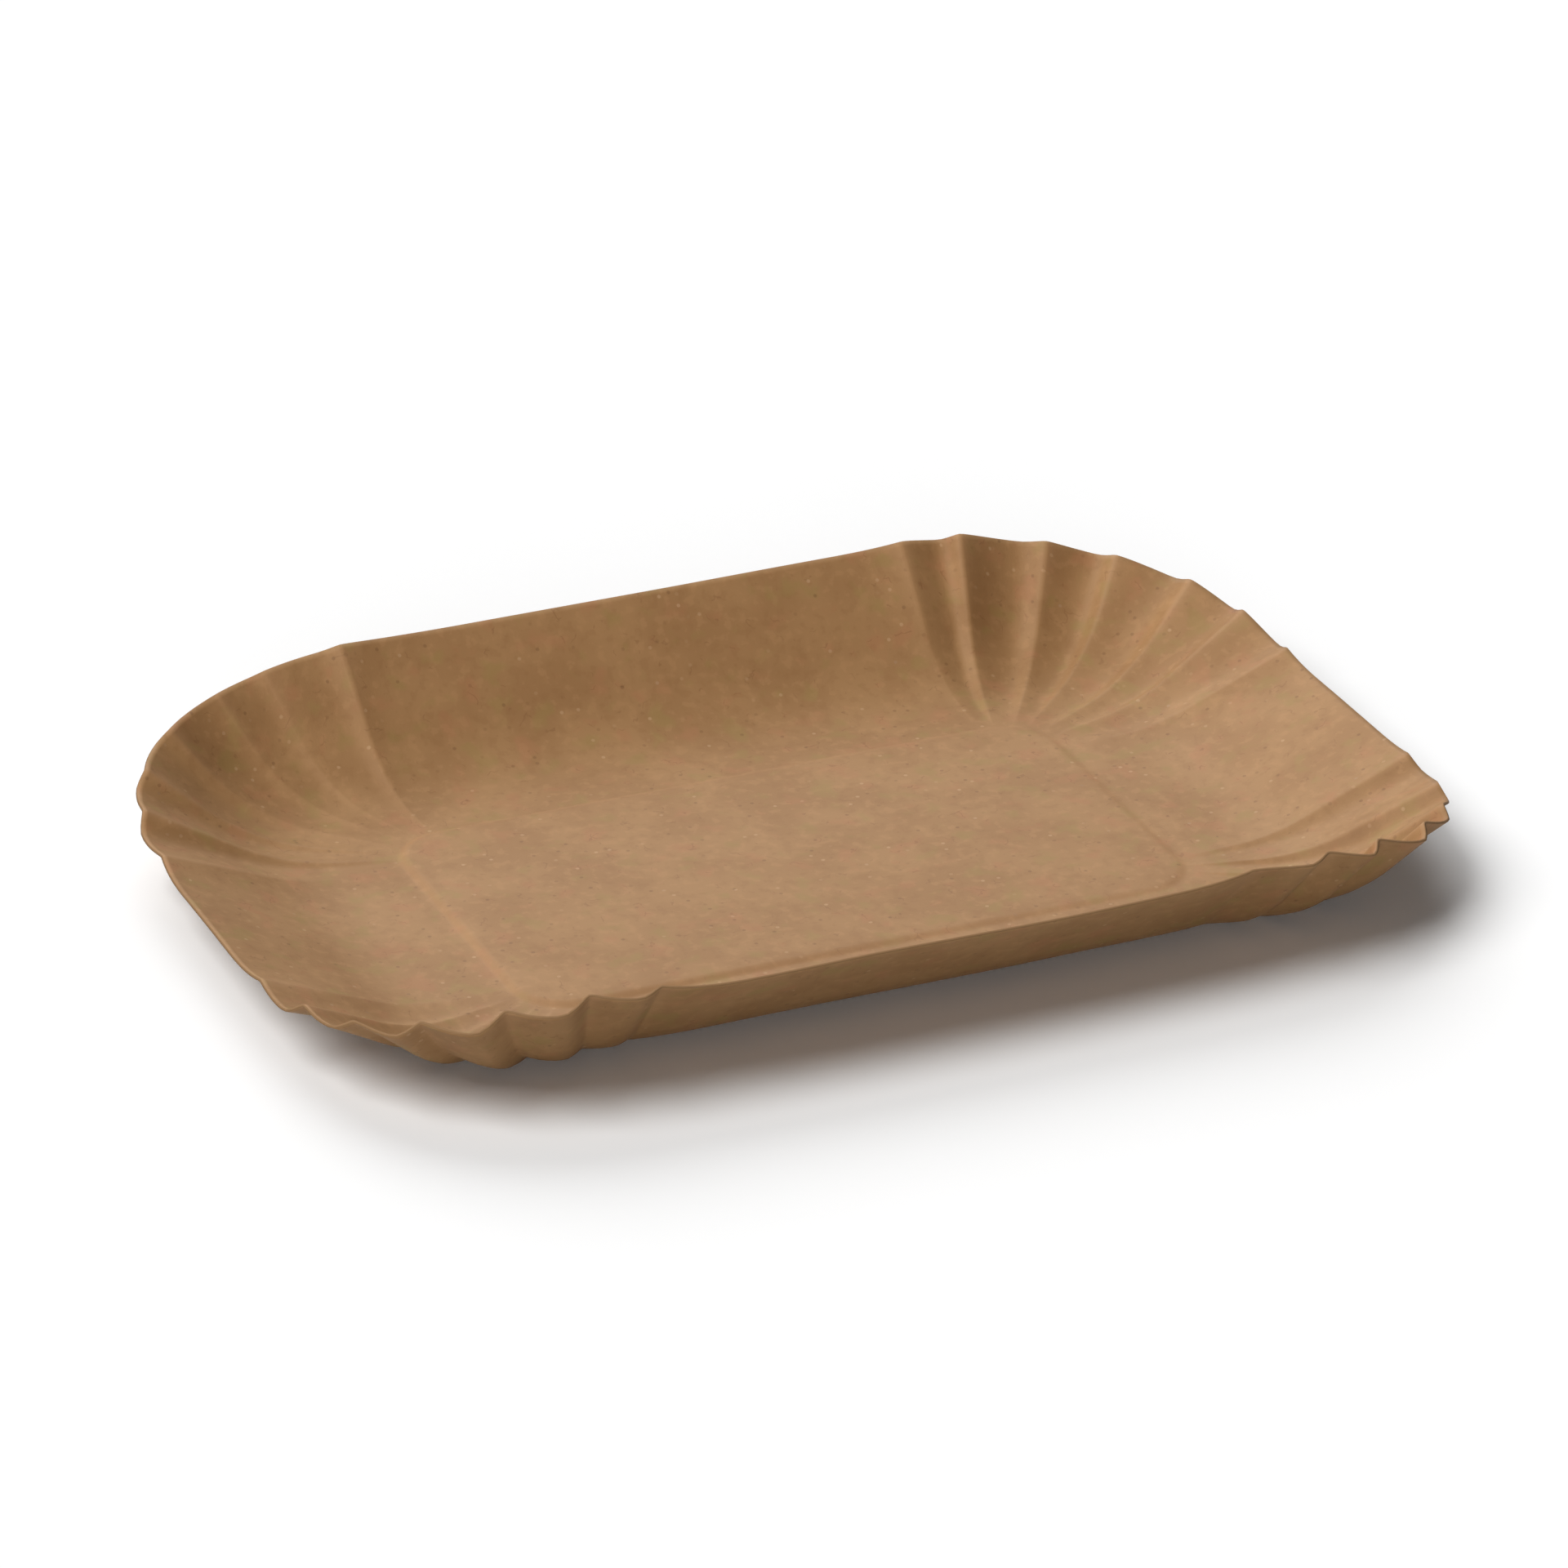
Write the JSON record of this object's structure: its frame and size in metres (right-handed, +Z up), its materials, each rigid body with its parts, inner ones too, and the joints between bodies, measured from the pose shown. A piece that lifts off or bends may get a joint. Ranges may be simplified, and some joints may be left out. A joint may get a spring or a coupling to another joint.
{
  "type": "paper food tray",
  "caption": "Oblong pressed paper food tray in brown kraft board, with a stepped flat floor, high curved side walls, low end walls and pleated corners.",
  "frame": {"origin": "middle of the floor, on the surface that the tray stands on", "axes": "+X along the tray's length, +Y across it, +Z up out of the tray"},
  "size_m": [0.2284, 0.1544, 0.0238],
  "materials": {
    "kraft_board": "matte"
  },
  "bodies": {
    "root": {"tray": "kraft_board"}
  },
  "joints": []
}
